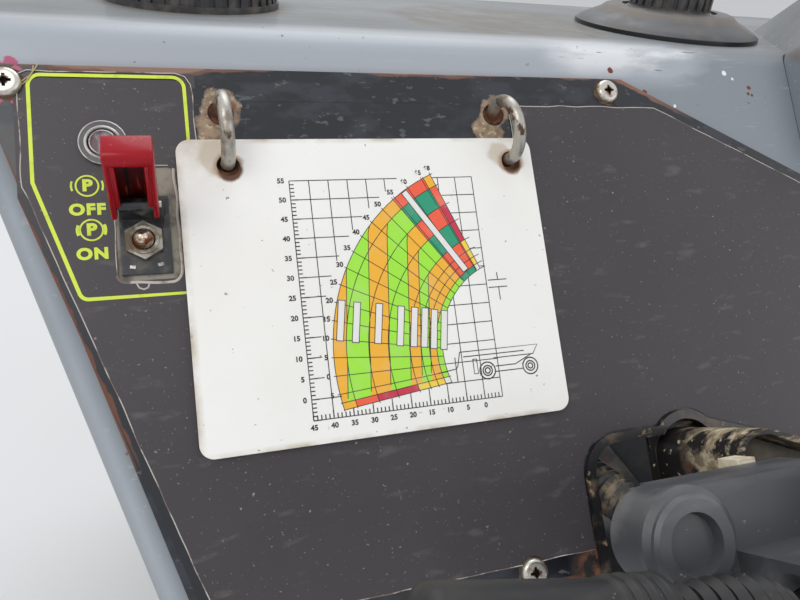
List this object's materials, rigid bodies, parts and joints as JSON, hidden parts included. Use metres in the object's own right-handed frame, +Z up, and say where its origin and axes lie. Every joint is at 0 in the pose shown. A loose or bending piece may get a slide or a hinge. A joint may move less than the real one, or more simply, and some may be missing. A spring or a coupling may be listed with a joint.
{
  "type": "telehandler dashboard console",
  "caption": "Sloping cab dash console with brake switch under a red guard, hinged chart card on rings, deck vents, instrument cowl and column shifter.",
  "frame": {"origin": "middle of the floor bolt pattern at floor level", "axes": "+X to the operator's right, +Y away from the operator, +Z up"},
  "size_m": [0.6806, 0.4719, 0.483],
  "materials": {
    "housing_paint": "satin",
    "flange_paint": "satin",
    "plate_paint": "gloss",
    "film": "satin",
    "edge_paint": "gloss",
    "zinc_screw": "satin",
    "card_plastic": "gloss",
    "ring_steel": "satin",
    "black_plastic": "matte",
    "pin_steel": "satin",
    "nickel": "polished",
    "guard_red": "gloss",
    "lens_clear": "clear",
    "cluster_plastic": "satin",
    "gauge_glass": "clear",
    "column_black": "satin",
    "bush_nylon": "matte",
    "shaft_steel": "satin",
    "bracket_paint": "satin",
    "conduit_rubber": "matte",
    "rubber": "matte",
    "plug_plastic": "matte",
    "cast_clamp": "matte"
  },
  "bodies": {
    "console": {"housing": "housing_paint", "floor_flange": "flange_paint", "switch_plate": "plate_paint", "switch_plate_film": "film", "opening_edge": "edge_paint", "plate_screws": "zinc_screw", "switch_base": "black_plastic", "guard_pin": "pin_steel", "toggle_switch": "nickel", "lamp_body": "nickel", "lamp_lens": "lens_clear", "swivel_vent_bezel": "black_plastic", "defroster_grille": "black_plastic", "instrument_plate": "cluster_plastic", "gauge_cases": "black_plastic", "gauge_glasses": "gauge_glass", "column_tube": "column_black", "column_bushes": "bush_nylon", "column_bracket": "bracket_paint", "column_clamp": "cast_clamp", "cable_conduit": "conduit_rubber", "shifter_case": "black_plastic", "shifter_boss": "rubber", "wire_plugs": "plug_plastic"},
    "card": {"chart_card": "card_plastic"},
    "left_ring": {"ring_left": "ring_steel"},
    "right_ring": {"ring_right": "ring_steel"},
    "toggle": {"toggle_lever": "nickel"},
    "guard": {"switch_guard": "guard_red"},
    "wheel_shaft": {"steering_shaft": "shaft_steel"},
    "shifter_lever": {"shift_lever": "rubber"},
    "shifter_grip": {"twist_grip": "rubber"},
    "vent_turret": {"swivel_vent_turret": "black_plastic"}
  },
  "joints": [
    {"name": "card_flip", "type": "hinge", "parent": "console", "child": "card", "pos_m": [-0.16, -0.0353, 0.3931], "axis": [-1, 0, 0], "range_deg": [0, 45]},
    {"name": "left_ring_turn", "type": "hinge", "parent": "console", "child": "left_ring", "pos_m": [-0.2266, -0.0353, 0.3931], "axis": [0.9994, 0.0222, 0.0269], "continuous": true},
    {"name": "right_ring_turn", "type": "hinge", "parent": "console", "child": "right_ring", "pos_m": [-0.093, -0.0353, 0.3931], "axis": [0.9903, 0.0885, 0.1074], "continuous": true},
    {"name": "toggle_throw", "type": "hinge", "parent": "console", "child": "toggle", "pos_m": [-0.2623, -0.06289, 0.35649], "axis": [-1, 0, 0], "range_deg": [0, 22]},
    {"name": "guard_hinge", "type": "hinge", "parent": "console", "child": "guard", "pos_m": [-0.2638, -0.06092, 0.37068], "axis": [1, 0, 0], "range_deg": [0, 115]},
    {"name": "steering", "type": "hinge", "parent": "console", "child": "wheel_shaft", "pos_m": [0, -0.16733, 0.22901], "axis": [0, -0.6428, 0.766], "continuous": true},
    {"name": "direction_shift", "type": "hinge", "parent": "console", "child": "shifter_lever", "pos_m": [-0.065, -0.24562, 0.30068], "axis": [-0.1865, -0.6249, -0.7581], "range_deg": [-8, 8]},
    {"name": "gear_twist", "type": "hinge", "parent": "shifter_lever", "child": "shifter_grip", "pos_m": [-0.065, -0.24562, 0.30068], "axis": [-0.9816, 0.0853, 0.1711], "range_deg": [-30, 30]},
    {"name": "vent_swivel", "type": "hinge", "parent": "console", "child": "vent_turret", "pos_m": [0.072, 0.07819, 0.428], "axis": [0, 0, 1], "continuous": true}
  ]
}
